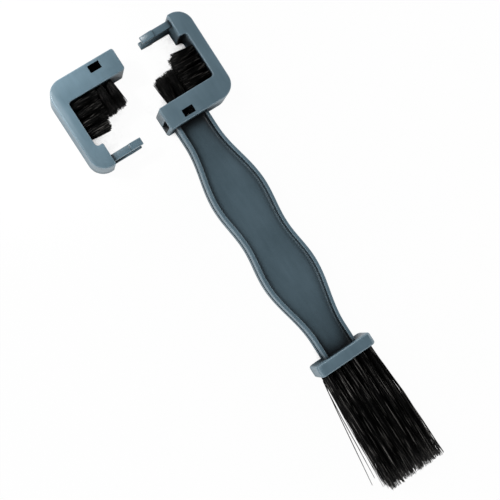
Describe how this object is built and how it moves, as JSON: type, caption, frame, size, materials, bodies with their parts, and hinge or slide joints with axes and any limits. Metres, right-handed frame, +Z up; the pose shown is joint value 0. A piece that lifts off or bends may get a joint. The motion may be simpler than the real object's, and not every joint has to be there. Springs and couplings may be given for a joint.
{
  "type": "bike chain cleaner",
  "caption": "Hand brush for bicycle chains: a wavy handle with long bristles at one end and, at the other, a snap-together bristled ring shown open.",
  "frame": {"origin": "centre of the box that holds the whole tool, on the surface it lies on", "axes": "+Z up, from the back face to the front face; +Y along the handle from the long brush to the ring; +X across, from the clip-on half to the fixed half"},
  "size_m": [0.0836, 0.2666, 0.02],
  "materials": {
    "moulded_plastic": "satin blue-grey moulded plastic",
    "nylon_bristle": "satin black nylon strands",
    "anchor_metal": "plain galvanised wire"
  },
  "bodies": {
    "handle": {"handle_moulding": "moulded_plastic", "head_wall_tufts_upper": "nylon_bristle", "head_wall_tufts_middle": "nylon_bristle", "head_wall_tufts_lower": "nylon_bristle", "head_wall_tufts_corner": "nylon_bristle", "head_arm_tufts_outer": "nylon_bristle", "head_arm_tufts_inner": "nylon_bristle", "long_bristles_front": "nylon_bristle", "long_bristles_middle": "nylon_bristle", "long_bristles_back": "nylon_bristle", "head_wall_anchors": "anchor_metal", "head_arm_anchors": "anchor_metal", "long_bristle_anchors": "anchor_metal"},
    "clip": {"clip_moulding": "moulded_plastic", "clip_wall_tufts_upper": "nylon_bristle", "clip_wall_tufts_middle": "nylon_bristle", "clip_wall_tufts_lower": "nylon_bristle", "clip_wall_tufts_corner": "nylon_bristle", "clip_arm_tufts_outer": "nylon_bristle", "clip_arm_tufts_inner": "nylon_bristle", "clip_wall_anchors": "anchor_metal", "clip_arm_anchors": "anchor_metal"},
    "head_front_tine": {"head_front_tine": "moulded_plastic"},
    "head_back_tine": {"head_back_tine": "moulded_plastic"},
    "clip_front_tine": {"clip_front_tine": "moulded_plastic"},
    "clip_back_tine": {"clip_back_tine": "moulded_plastic"}
  },
  "joints": [
    {"name": "clip_pull", "type": "slide", "parent": "handle", "child": "clip", "axis": [1, 0, 0], "range_m": [0, 0.0326]},
    {"name": "head_front_flex", "type": "hinge", "parent": "handle", "child": "head_front_tine", "pos_m": [0.0332, 0.1295, 0.01575], "axis": [0, -1, 0], "range_deg": [0, 5], "stiffness_Nm_per_rad": 0.5},
    {"name": "head_back_flex", "type": "hinge", "parent": "handle", "child": "head_back_tine", "pos_m": [0.0332, 0.1295, 0.00425], "axis": [0, 1, 0], "range_deg": [0, 5], "stiffness_Nm_per_rad": 0.5},
    {"name": "clip_front_flex", "type": "hinge", "parent": "clip", "child": "clip_front_tine", "pos_m": [-0.0332, 0.0861, 0.01575], "axis": [0, 1, 0], "range_deg": [0, 5], "stiffness_Nm_per_rad": 0.5},
    {"name": "clip_back_flex", "type": "hinge", "parent": "clip", "child": "clip_back_tine", "pos_m": [-0.0332, 0.0861, 0.00425], "axis": [0, -1, 0], "range_deg": [0, 5], "stiffness_Nm_per_rad": 0.5}
  ]
}
